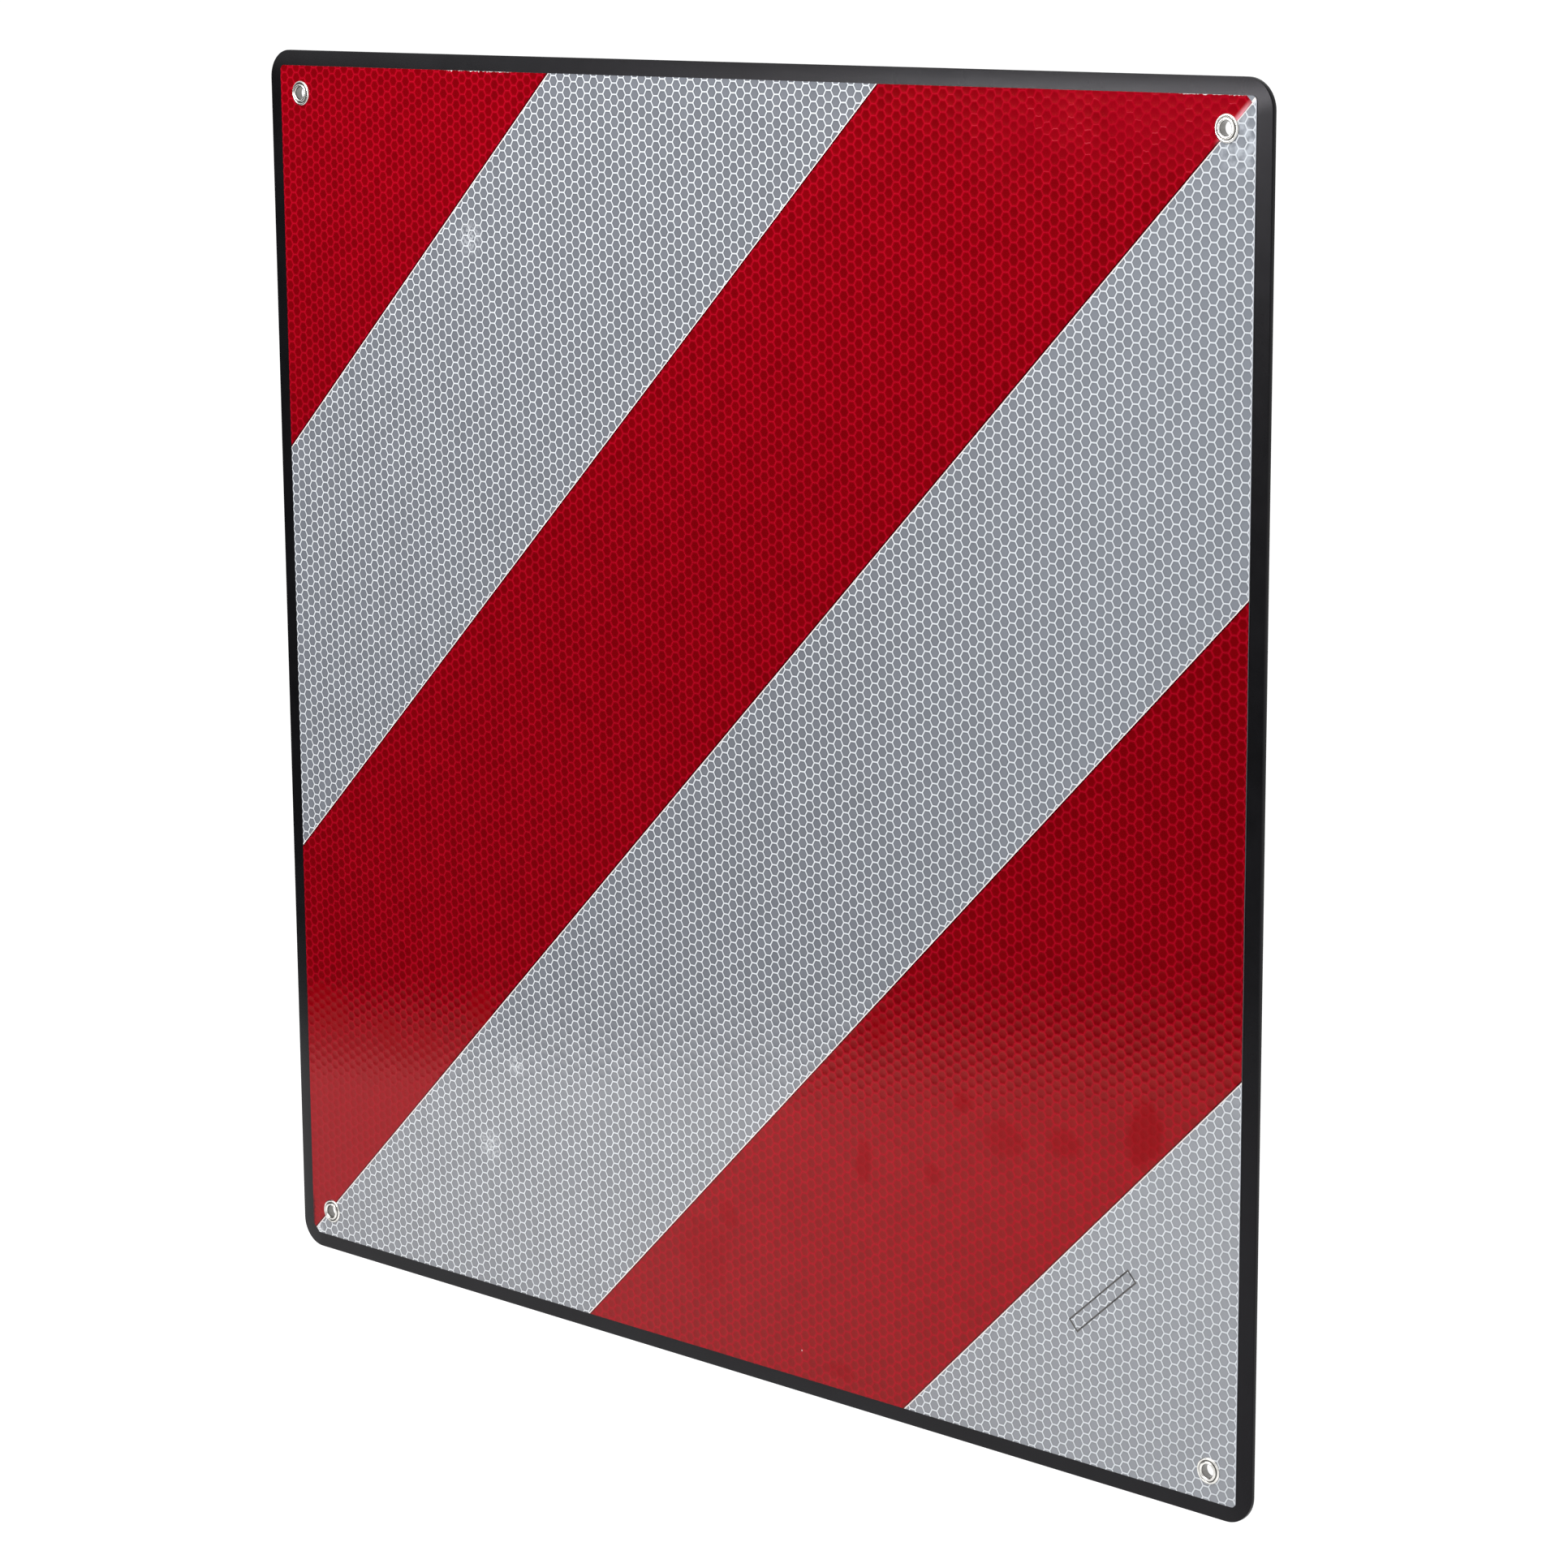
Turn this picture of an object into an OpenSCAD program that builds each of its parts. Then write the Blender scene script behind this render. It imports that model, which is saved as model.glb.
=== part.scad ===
// Square warning plate for a load that sticks out behind a vehicle.
// A stiff plastic plate carries one sheet of reflective film with red diagonal fields laid on it,
// and a rolled eyelet in each corner takes the ties that hold the plate to the load.
// X runs to the right, Z up, and the striped face looks along -Y.
// The origin is on the back face of the plate, midway between the four eyelets.

/* [Plate] */
// Width of the plate
plate_w = 500; // [300:10:600]
// Height of the plate
plate_h = 500; // [300:10:600]
// Thickness of the plate
plate_t = 2; // [1.5:0.1:4]
// Radius of the plate's corners
plate_corner_r = 11; // [4:0.5:16]

/* [Reflective film] */
// Bare strip of plate left of and right of the film
film_side_margin = 6.5; // [4:0.5:9]
// Bare strip of plate above and below the film
film_end_margin = 6; // [4:0.5:9]
// Thickness of the white film
film_t = 0.4; // [0.2:0.05:0.8]
// Radius of the film's corners
film_corner_r = 2; // [0.5:0.5:6]

/* [Red fields] */
// Number of diagonal stripes from the top left corner to the bottom right one
stripe_count = 6; // [4:2:10]
// Thickness of the clear red film over the white one
red_t = 0.1; // [0.05:0.01:0.3]

/* [Eyelets] */
// Eyelet centre to the nearer upright edge of the plate
eyelet_side_inset = 18.5; // [16:0.5:30]
// Eyelet centre to the nearer level edge of the plate
eyelet_end_inset = 17; // [16:0.5:30]
// Free hole through an eyelet
eyelet_bore_d = 5; // [4:0.1:6.5]
// Wall of the eyelet's drawn barrel
eyelet_wall = 0.35; // [0.25:0.05:0.5]
// Width of the lip rolled over the washer
lip_w = 1.24; // [1:0.02:1.6]
// Height of the domed flange on the back
flange_h = 0.8; // [0.6:0.1:1.2]
// Outside diameter of the flange on the back
flange_d = 9.8; // [9:0.1:12]
// Clearance round the barrel in the plate, the films and the washer
barrel_gap = 0.1; // [0.05:0.01:0.2]

/* [Washers] */
// Thickness of the washer's metal
washer_t = 0.3; // [0.2:0.05:0.4]
// Width of the half round bead on the washer's rim
bead_w = 1.1; // [1:0.05:1.6]
// Clearance between the rolled lip and the bead
lip_gap = 0.06; // [0.02:0.01:0.2]

/* [Hidden] */
$fn = 96;

// Face heights, counted forward from the back face of the plate
plate_face = plate_t;
film_face = plate_face + film_t;
red_face = film_face + red_t;

film_w = plate_w - 2 * film_side_margin;
film_h = plate_h - 2 * film_end_margin;
spacing_x = plate_w - 2 * eyelet_side_inset;
spacing_z = plate_h - 2 * eyelet_end_inset;

// The middle boundary joins two corners of the plate, at 45 degrees on a square one,
// and all the boundaries cut each edge of the plate in equal steps
stripe_lean = atan2(plate_h, plate_w);
stripe_step = 2 * plate_w / stripe_count;
stripe_w = stripe_step * sin(stripe_lean);
stripe_reach = plate_w + plate_h;

bore_r = eyelet_bore_d / 2;
barrel_r = bore_r + eyelet_wall;
hole_r = barrel_r + barrel_gap;
lip_r = lip_w / 2;
bead_r = bead_w / 2;
bead_inner_r = bore_r + lip_w + lip_gap;
dome_steps = 12;

black = [0.12, 0.12, 0.13];
white = [0.80, 0.82, 0.84];
red = [0.72, 0.04, 0.09];
nickel = [0.80, 0.79, 0.76];

// Outline of a sheet with round corners, centred on the origin
module rounded_sheet(w, h, r) {
    square([w - 2 * r, h], center = true);
    square([w, h - 2 * r], center = true);
    for (sx = [-1, 1], sy = [-1, 1])
        translate([sx * (w / 2 - r), sy * (h / 2 - r)])
            circle(r = r);
}

// Places its children at each eyelet
module at_eyelets() {
    for (sx = [-1, 1], sy = [-1, 1])
        translate([sx * spacing_x / 2, sy * spacing_z / 2])
            children();
}

// Turns an outline drawn in X and Y upright and gives it a thickness,
// from the height low to the height high in front of the plate's back face
module upright(low, high) {
    rotate([90, 0, 0])
        translate([0, 0, low])
            linear_extrude(high - low)
                children();
}

// Stripe number k, counted from the top left corner, as an endless diagonal band
module stripe(k) {
    rotate(stripe_lean)
        translate([-stripe_reach / 2, (stripe_count / 2 - k - 1) * stripe_w])
            square([stripe_reach, stripe_w]);
}

// Part of the film that one red field covers
module red_outline(k) {
    difference() {
        intersection() {
            rounded_sheet(film_w, film_h, film_corner_r);
            stripe(k);
        }
        at_eyelets() circle(r = hole_r);
    }
}

module red_field(k) {
    color(red)
        upright(film_face, red_face)
            red_outline(k);
}

module backing_plate() {
    color(black)
        upright(0, plate_face)
            difference() {
                rounded_sheet(plate_w, plate_h, plate_corner_r);
                at_eyelets() circle(r = hole_r);
            }
}

module reflective_film() {
    color(white)
        upright(plate_face, film_face)
            difference() {
                rounded_sheet(film_w, film_h, film_corner_r);
                at_eyelets() circle(r = hole_r);
            }
}

// Half of an oval ring cut from metal of thickness t, standing on the line y = 0
module arched_section(inner_r, w, h, t) {
    function arc(a, b) = [
        for (i = [0:dome_steps])
            [a * cos(180 * i / dome_steps), b * sin(180 * i / dome_steps)]
    ];
    translate([inner_r + w / 2, 0])
        difference() {
            polygon(arc(w / 2, h));
            polygon(arc(w / 2 - t, h - t));
        }
}

// Eyelet seen in section: domed flange behind the plate, drawn barrel through it,
// and the end of the barrel rolled outwards over the washer
module eyelet_section(lip_seat) {
    mirror([0, 1])
        arched_section(bore_r, flange_d / 2 - bore_r, flange_h, eyelet_wall);
    translate([bore_r, 0])
        square([eyelet_wall, lip_seat]);
    translate([0, lip_seat])
        arched_section(bore_r, lip_w, lip_r, eyelet_wall);
}

// Washer seen in section: a flat land under the rolled lip, and a half round bead at the rim
module washer_section() {
    translate([hole_r, 0])
        square([bead_inner_r + washer_t - hole_r, washer_t]);
    arched_section(bead_inner_r, bead_w, bead_r, washer_t);
}

// Height of the face that a corner's washer is pressed on: red film everywhere
// but at the bottom right, where the white film is bare
function washer_seat(sx, sz) = sx > 0 && sz < 0 ? film_face : red_face;

module in_corner(sx, sz) {
    translate([sx * spacing_x / 2, 0, sz * spacing_z / 2])
        rotate([90, 0, 0])
            children();
}

module eyelet(sx, sz) {
    color(nickel)
        in_corner(sx, sz)
            rotate_extrude()
                eyelet_section(washer_seat(sx, sz) + washer_t);
}

module washer(sx, sz) {
    color(nickel)
        in_corner(sx, sz)
            translate([0, 0, washer_seat(sx, sz)])
                rotate_extrude()
                    washer_section();
}

backing_plate();
reflective_film();
red_field(0);  // red_corner_field
red_field(2);  // red_middle_band
red_field(4);  // red_lower_band
eyelet(-1, 1);  // eyelet_top_left
eyelet(1, 1);  // eyelet_top_right
eyelet(-1, -1);  // eyelet_bottom_left
eyelet(1, -1);  // eyelet_bottom_right
washer(-1, 1);  // washer_top_left
washer(1, 1);  // washer_top_right
washer(-1, -1);  // washer_bottom_left
washer(1, -1);  // washer_bottom_right
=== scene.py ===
import math

import bmesh
import bpy
from mathutils import Matrix, Vector, noise as fieldNoise


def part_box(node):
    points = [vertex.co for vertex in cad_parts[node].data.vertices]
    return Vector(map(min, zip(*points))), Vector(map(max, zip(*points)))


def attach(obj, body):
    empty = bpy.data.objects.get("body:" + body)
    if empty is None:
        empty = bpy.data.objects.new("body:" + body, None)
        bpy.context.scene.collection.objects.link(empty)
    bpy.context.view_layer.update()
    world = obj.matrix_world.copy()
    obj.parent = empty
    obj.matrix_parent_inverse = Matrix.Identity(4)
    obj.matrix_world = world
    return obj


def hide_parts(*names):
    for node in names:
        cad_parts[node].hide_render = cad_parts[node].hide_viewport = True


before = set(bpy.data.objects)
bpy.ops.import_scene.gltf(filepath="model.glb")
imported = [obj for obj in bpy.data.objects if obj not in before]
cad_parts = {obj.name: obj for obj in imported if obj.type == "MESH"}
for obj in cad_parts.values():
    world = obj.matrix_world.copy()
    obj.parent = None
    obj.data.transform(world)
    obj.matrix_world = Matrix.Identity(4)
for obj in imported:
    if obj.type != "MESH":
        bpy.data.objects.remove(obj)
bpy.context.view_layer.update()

mm = 0.001
corners = ("top_left", "top_right", "bottom_left", "bottom_right")
uprightTurn = Matrix.Rotation(math.radians(90), 4, "X")   # flat work in X and Y becomes X and Z


# Small node helpers
def feed(tree, socket, value):
    if isinstance(value, bpy.types.NodeSocket):
        tree.links.new(value, socket)
    elif value is not None:
        socket.default_value = value


def calc(tree, operation, first, second=None, third=None):
    node = tree.nodes.new("ShaderNodeMath")
    node.operation = operation
    for socket, value in zip(node.inputs, (first, second, third)):
        feed(tree, socket, value)
    return node.outputs[0]


# 0 at start and 1 at end, soft between them, and it may run downwards
def fade(tree, value, start, end):
    node = tree.nodes.new("ShaderNodeMapRange")
    node.interpolation_type = "SMOOTHSTEP"
    for name, number in (("Value", value), ("From Min", start), ("From Max", end)):
        feed(tree, node.inputs[name], number)
    return node.outputs[0]


def spread(tree, value, low, high):
    node = tree.nodes.new("ShaderNodeMapRange")
    feed(tree, node.inputs["Value"], value)
    node.inputs["To Min"].default_value = low
    node.inputs["To Max"].default_value = high
    return node.outputs[0]


def blendColour(tree, amount, first, second, mode="MIX"):
    node = tree.nodes.new("ShaderNodeMix")
    node.data_type = "RGBA"
    node.blend_type = mode
    for number, value in ((0, amount), (6, first), (7, second)):
        feed(tree, node.inputs[number], value)
    return node.outputs[2]


def colourRamp(tree, value, stops):
    node = tree.nodes.new("ShaderNodeValToRGB")
    feed(tree, node.inputs[0], value)
    ramp = node.color_ramp
    while len(ramp.elements) < len(stops):
        ramp.elements.new(0.5)
    for element, (place, colour) in zip(ramp.elements, stops):
        element.position = place
        element.color = colour
    return node.outputs[0]


def noise(tree, position, scale, detail=2.0, roughness=0.5):
    node = tree.nodes.new("ShaderNodeTexNoise")
    feed(tree, node.inputs["Vector"], position)
    node.inputs["Scale"].default_value = scale
    node.inputs["Detail"].default_value = detail
    node.inputs["Roughness"].default_value = roughness
    return node.outputs[0]


def combine(tree, x, y, z):
    node = tree.nodes.new("ShaderNodeCombineXYZ")
    for socket, value in zip(node.inputs, (x, y, z)):
        feed(tree, socket, value)
    return node.outputs[0]


def bump(tree, height, distance, strength=1.0, under=None):
    node = tree.nodes.new("ShaderNodeBump")
    node.inputs["Strength"].default_value = strength
    node.inputs["Distance"].default_value = distance
    feed(tree, node.inputs["Height"], height)
    feed(tree, node.inputs["Normal"], under)
    return node.outputs[0]


# Object coordinates in millimetres, stretched for a pattern that runs one way
def placeInMm(tree, stretch=(1, 1, 1)):
    coordinates = tree.nodes.new("ShaderNodeTexCoord")
    mapping = tree.nodes.new("ShaderNodeMapping")
    mapping.inputs["Scale"].default_value = [1000 * part for part in stretch]
    tree.links.new(coordinates.outputs["Object"], mapping.inputs["Vector"])
    return mapping.outputs[0]


def axesOf(tree, position):
    node = tree.nodes.new("ShaderNodeSeparateXYZ")
    tree.links.new(position, node.inputs[0])
    return node.outputs


def newFinish(name):
    material = bpy.data.materials.new(name)
    material.use_nodes = True
    tree = material.node_tree
    tree.nodes.clear()
    output = tree.nodes.new("ShaderNodeOutputMaterial")
    surface = tree.nodes.new("ShaderNodeBsdfPrincipled")
    tree.links.new(surface.outputs[0], output.inputs[0])
    return material, tree, surface


# Distance of x and z from a place on the face
def distanceTo(tree, x, z, centreX, centreZ):
    across = calc(tree, "SUBTRACT", x, centreX)
    up = calc(tree, "SUBTRACT", z, centreZ)
    both = calc(tree, "MULTIPLY_ADD", across, across, calc(tree, "MULTIPLY", up, up))
    return calc(tree, "SQRT", both)


# Camera, where the photograph was taken from
cameraSet = {
    "place": (1.1087, -1.1602, 0.3079),
    "turn": 42.966,      # degrees to the left of looking along +Y
    "pitch": -11.507,
    "roll": -0.373,
    "lens": 99.80,
    "sensor": 36,
    "farClip": 500,
}


def makeCamera():
    data = bpy.data.cameras.new("camera")
    data.lens = cameraSet["lens"]
    data.sensor_width = cameraSet["sensor"]
    data.clip_end = cameraSet["farClip"]
    camera = bpy.data.objects.new("camera", data)
    bpy.context.scene.collection.objects.link(camera)
    turn = Matrix.Rotation(math.radians(cameraSet["turn"]), 4, "Z")
    tilt = Matrix.Rotation(math.radians(90 + cameraSet["pitch"]), 4, "X")
    roll = Matrix.Rotation(math.radians(cameraSet["roll"]), 4, "Z")
    camera.matrix_world = Matrix.Translation(cameraSet["place"]) @ turn @ tilt @ roll
    bpy.context.scene.camera = camera


makeCamera()
print("camera set")


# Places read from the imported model
def middleOf(node):
    low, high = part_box(node)
    return (low + high) / 2


eyeletPlaces = {corner: middleOf("eyelet_" + corner) for corner in corners}
plateLow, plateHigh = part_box("backing_plate")
filmLow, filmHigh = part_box("reflective_film")
redLow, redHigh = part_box("red_middle_band")


def allOf(bm):
    return bm.verts[:] + bm.edges[:] + bm.faces[:]


def onlyVerts(geometry):
    return [part for part in geometry if isinstance(part, bmesh.types.BMVert)]


def flatPlace(corner):
    return Vector((eyeletPlaces[corner].x, eyeletPlaces[corner].z, 0))


# A finished piece: its mesh stands upright in its place, the object stays at the origin
def finishPiece(bm, name, material, nodes, sharpAngle=30):
    bmesh.ops.transform(bm, matrix=uprightTurn, verts=bm.verts)
    mesh = bpy.data.meshes.new(name)
    bm.to_mesh(mesh)
    bm.free()
    mesh.materials.append(material)
    mesh.shade_smooth()
    mesh.set_sharp_from_angle(angle=math.radians(sharpAngle))
    piece = bpy.data.objects.new(name, mesh)
    bpy.context.scene.collection.objects.link(piece)
    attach(piece, "root")
    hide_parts(*nodes)


# Reflective films
filmMake = {
    "cellPitch": 4.157 * mm,     # across the flats of a cell, one above the other
    "cellSlope": 0.5 * mm,       # width of a cell's sloping side
    "cellDepth": 0.025 * mm,
    "cornerRadius": 2 * mm,
    "cornerCuts": 5,
    "holeRadius": 2.95 * mm,
    "landRadius": 4.4 * mm,      # the cells are pressed flat under the washers
    "holeSides": 48,
    "stripes": 6,
    "edgeWobble": 0.15 * mm,     # the film's edges aren't cut quite straight
    "wobbleScale": 45,           # waves of the noise in a metre
    "clippedCorner": 2.4 * mm,   # the film's bottom left corner is clipped
    "shortTip": 2.6 * mm,        # the red stops short of the film's top right corner
    "mergeReach": 0.002 * mm,
    "cutReach": 0.0005 * mm,     # a cut this close to a point goes through the point
}
columnStep = filmMake["cellPitch"] * math.sqrt(3) / 2
stripeLean = math.atan2(plateHigh.z - plateLow.z, plateHigh.x - plateLow.x)
stripeWidth = 2 * (plateHigh.x - plateLow.x) / filmMake["stripes"] * math.sin(stripeLean)
stripeNormal = Vector((math.sin(stripeLean), -math.cos(stripeLean), 0))


def stripeNumber(point):
    return math.floor(point.dot(stripeNormal) / stripeWidth) + filmMake["stripes"] // 2


def repeatAlong(bm, geometry, count, offset):
    for number in range(1, count):
        copied = bmesh.ops.duplicate(bm, geom=geometry)["geom"]
        bmesh.ops.translate(bm, verts=onlyVerts(copied), vec=offset * number)


# Embossed cells over more than the film, with the middle of one cell on the origin
def layCells():
    bm = bmesh.new()
    pitch = filmMake["cellPitch"]
    bmesh.ops.create_circle(bm, cap_ends=True, segments=6, radius=pitch / math.sqrt(3))
    bmesh.ops.rotate(bm, matrix=Matrix.Rotation(math.radians(30), 3, "Z"), verts=bm.verts)
    bmesh.ops.inset_individual(bm, faces=bm.faces[:], thickness=filmMake["cellSlope"],
                               depth=-filmMake["cellDepth"], use_even_offset=True)
    rowsUp = math.ceil((filmHigh.z - filmLow.z) / 2 / pitch) + 1
    pairsAcross = math.ceil((filmHigh.x - filmLow.x) / 4 / columnStep) + 1
    repeatAlong(bm, allOf(bm), 2 * rowsUp + 1, Vector((0, pitch, 0)))
    repeatAlong(bm, allOf(bm), 2, Vector((columnStep, pitch / 2, 0)))
    repeatAlong(bm, allOf(bm), 2 * pairsAcross + 1, Vector((2 * columnStep, 0, 0)))
    start = Vector((-2 * columnStep * pairsAcross, -pitch * rowsUp, 0))
    bmesh.ops.translate(bm, verts=bm.verts, vec=start)
    bmesh.ops.remove_doubles(bm, verts=bm.verts, dist=filmMake["mergeReach"])
    return bm


def cutAway(bm, geometry, point, outward):
    bmesh.ops.bisect_plane(bm, geom=geometry, dist=filmMake["cutReach"], plane_co=point,
                           plane_no=outward, clear_outer=True)


def nearPlace(bm, place, reach):
    faces = [face for face in bm.faces if (face.calc_center_median() - place).length < reach]
    edges = {edge for face in faces for edge in face.edges}
    verts = {vert for face in faces for vert in face.verts}
    return list(verts) + list(edges) + faces


# Straight cuts on the four sides, then tangent cuts round each corner
def trimToOutline(bm):
    halfWide = (filmHigh.x - filmLow.x) / 2
    halfHigh = (filmHigh.z - filmLow.z) / 2
    for side in (-1, 1):
        cutAway(bm, allOf(bm), Vector((side * halfWide, 0, 0)), Vector((side, 0, 0)))
        cutAway(bm, allOf(bm), Vector((0, side * halfHigh, 0)), Vector((0, side, 0)))
    radius = filmMake["cornerRadius"]
    for sideX in (-1, 1):
        for sideY in (-1, 1):
            centre = Vector((sideX * (halfWide - radius), sideY * (halfHigh - radius), 0))
            for number in range(filmMake["cornerCuts"]):
                angle = math.pi / 2 * (number + 1) / (filmMake["cornerCuts"] + 1)
                outward = Vector((sideX * math.cos(angle), sideY * math.sin(angle), 0))
                near = nearPlace(bm, centre, 4 * radius)
                cutAway(bm, near, centre + radius * outward, outward)
    slanted = Vector((-1, -1, 0)).normalized()
    clip = Vector((-halfWide, -halfHigh, 0)) - slanted * filmMake["clippedCorner"]
    cutAway(bm, nearPlace(bm, clip, 5 * radius), clip, slanted)
    onOutline = bm.verts.layers.float.new("outline")
    for edge in [edge for edge in bm.edges if edge.is_boundary]:
        for vert in edge.verts:
            vert[onOutline] = 1.0


# Moves the cut edge inwards a little, by an amount that changes slowly along it
def wobbleOutline(bm):
    onOutline = bm.verts.layers.float["outline"]
    for vert in bm.verts:
        flat = Vector((vert.co.x, vert.co.y, 0))
        swing = 0.5 + 0.5 * fieldNoise.noise(flat * filmMake["wobbleScale"])
        vert.co -= flat.normalized() * filmMake["edgeWobble"] * swing * vert[onOutline]


def rimOf(faces):
    inside = set(faces)
    edges = {edge for face in faces for edge in face.edges}
    return [edge for edge in edges if sum(face in inside for face in edge.link_faces) == 1]


# Takes faces out and closes the place flat, level with the cell walls
def fillFlat(bm, faces, extraEdges=()):
    rim = rimOf(faces)
    rim.sort(key=lambda edge: edge.index)
    bmesh.ops.delete(bm, geom=faces, context="FACES_KEEP_BOUNDARY")
    for edge in rim:
        for vert in edge.verts:
            vert.co.z = 0
    bmesh.ops.triangle_fill(bm, use_beauty=True, edges=rim + list(extraEdges), normal=(0, 0, 1))


def pressLands(bm):
    for corner in corners:
        place = flatPlace(corner)
        pressed = [face for face in bm.faces
                   if (face.calc_center_median() - place).length < filmMake["landRadius"]]
        ring = bmesh.ops.create_circle(bm, segments=filmMake["holeSides"],
                                       radius=filmMake["holeRadius"],
                                       matrix=Matrix.Translation(place))["verts"]
        ringEdges = {edge for vert in ring for edge in vert.link_edges}
        bm.edges.index_update()
        fillFlat(bm, pressed, sorted(ringEdges, key=lambda edge: edge.index))


def makeFilmBlank():
    bm = layCells()
    trimToOutline(bm)
    pressLands(bm)
    for line in range(1, filmMake["stripes"]):
        offset = (line - filmMake["stripes"] // 2) * stripeWidth
        bmesh.ops.bisect_plane(bm, geom=allOf(bm), dist=filmMake["cutReach"],
                               plane_co=stripeNormal * offset, plane_no=stripeNormal)
    bm.edges.index_update()
    return bm


# Gives an open embossed sheet its cut edge and its flat back
def closeSheet(bm, faceHeight, backHeight):
    rim = [edge for edge in bm.edges if edge.is_boundary]
    for edge in rim:
        for vert in edge.verts:
            vert.co.z = 0
    bmesh.ops.translate(bm, verts=bm.verts, vec=(0, 0, faceHeight))
    drawn = bmesh.ops.extrude_edge_only(bm, edges=rim)["geom"]
    backVerts = set(onlyVerts(drawn))
    for vert in backVerts:
        vert.co.z = backHeight
    backRim = [edge for edge in drawn if isinstance(edge, bmesh.types.BMEdge)
               and edge.verts[0] in backVerts and edge.verts[1] in backVerts]
    bmesh.ops.triangle_fill(bm, use_beauty=True, edges=backRim, normal=(0, 0, -1))
    bmesh.ops.recalc_face_normals(bm, faces=bm.faces)
    if bm.calc_volume(signed=True) < 0:      # a thin sheet may come out turned inwards
        bmesh.ops.reverse_faces(bm, faces=bm.faces)
    wobbleOutline(bm)


def facesInStripe(bm, number):
    return [face for face in bm.faces if stripeNumber(face.calc_center_median()) == number]


# One sheet under everything: its cells show in the white stripes, and it is flat under the red
def makeWhiteFilm(blank, material):
    bm = blank.copy()
    for number in range(0, filmMake["stripes"], 2):
        bm.edges.index_update()
        fillFlat(bm, facesInStripe(bm, number))
    closeSheet(bm, -filmLow.y, -filmHigh.y)
    finishPiece(bm, "whiteHoneycombFilm", material, ["reflective_film"])


def makeRedFilm(blank, name, number, node, material):
    bm = blank.copy()
    others = [face for face in bm.faces if stripeNumber(face.calc_center_median()) != number]
    bmesh.ops.delete(bm, geom=others, context="FACES")
    tip = Vector((redHigh.x, redHigh.z, 0))
    across = Vector((1, 1, 0)).normalized()
    nearTip = nearPlace(bm, tip, 4 * filmMake["shortTip"])
    if nearTip:
        cutAway(bm, nearTip, tip - across * filmMake["shortTip"], across)
    closeSheet(bm, -redLow.y, -redHigh.y)
    finishPiece(bm, name, material, [node])


# Film finishes, with their sizes in mm
filmLook = {
    "whiteRounding": 0.22,       # of the cells' corners as seen
    "redRounding": 0.4,
    "stripeStep": stripeWidth / mm,
    "pitch": filmMake["cellPitch"] / mm,
    "column": columnStep / mm,
    "waveScale": 0.022,
    "waveHeight": 0.12 * mm,
    "grainScale": 2.2,
    "grainHeight": 0.004 * mm,
    "dullScale": 0.05,
    "roughness": (0.07, 0.14),
}


# Distance from the nearest cell wall, a random number for each cell, and the height
# above or below the middle of the cell
def cellPattern(tree, x, z, rounding):
    pitch, column = filmLook["pitch"], filmLook["column"]
    firstX = calc(tree, "WRAP", x, column, -column)
    firstZ = calc(tree, "WRAP", z, pitch / 2, -pitch / 2)
    secondX = calc(tree, "WRAP", calc(tree, "ADD", x, column), column, -column)
    secondZ = calc(tree, "WRAP", calc(tree, "ADD", z, pitch / 2), pitch / 2, -pitch / 2)
    firstFar = calc(tree, "MULTIPLY_ADD", firstX, firstX, calc(tree, "MULTIPLY", firstZ, firstZ))
    secondFar = calc(tree, "MULTIPLY_ADD", secondX, secondX,
                     calc(tree, "MULTIPLY", secondZ, secondZ))
    takeSecond = calc(tree, "LESS_THAN", secondFar, firstFar)
    takeFirst = calc(tree, "SUBTRACT", 1.0, takeSecond)
    inX = calc(tree, "MULTIPLY_ADD", secondX, takeSecond, calc(tree, "MULTIPLY", firstX, takeFirst))
    inZ = calc(tree, "MULTIPLY_ADD", secondZ, takeSecond, calc(tree, "MULTIPLY", firstZ, takeFirst))
    absX = calc(tree, "ABSOLUTE", inX)
    absZ = calc(tree, "ABSOLUTE", inZ)
    slanted = calc(tree, "MULTIPLY_ADD", absX, math.cos(math.pi / 6),
                   calc(tree, "MULTIPLY", absZ, 0.5))
    outwards = calc(tree, "SMOOTH_MAX", absZ, slanted, rounding)
    wallGap = calc(tree, "SUBTRACT", pitch / 2, outwards)
    numberX = calc(tree, "ROUND", calc(tree, "DIVIDE", calc(tree, "SUBTRACT", x, inX), column))
    numberZ = calc(tree, "ROUND", calc(tree, "DIVIDE", calc(tree, "SUBTRACT", z, inZ), pitch / 2))
    dice = tree.nodes.new("ShaderNodeTexWhiteNoise")
    tree.links.new(combine(tree, numberX, numberZ, 0.0), dice.inputs["Vector"])
    return wallGap, dice.outputs["Value"], absZ


# Distance from the nearest stripe boundary
def boundaryGap(tree, x, z):
    lean = stripeNormal
    along = calc(tree, "MULTIPLY_ADD", x, lean.x, calc(tree, "MULTIPLY", z, lean.y))
    step = filmLook["stripeStep"]
    return calc(tree, "ABSOLUTE", calc(tree, "WRAP", along, step / 2, -step / 2))


# Slow waves of a film stuck on a thin plate, with finer grain over them
def filmBump(tree, position):
    waves = noise(tree, position, filmLook["waveScale"], 2.0, 0.45)
    grain = noise(tree, position, filmLook["grainScale"], 2.0, 0.6)
    wavy = bump(tree, waves, filmLook["waveHeight"])
    return bump(tree, grain, filmLook["grainHeight"], 1.0, wavy)


def filmRoughness(tree, position):
    dull = noise(tree, position, filmLook["dullScale"], 3.0, 0.6)
    return spread(tree, dull, *filmLook["roughness"])


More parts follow.
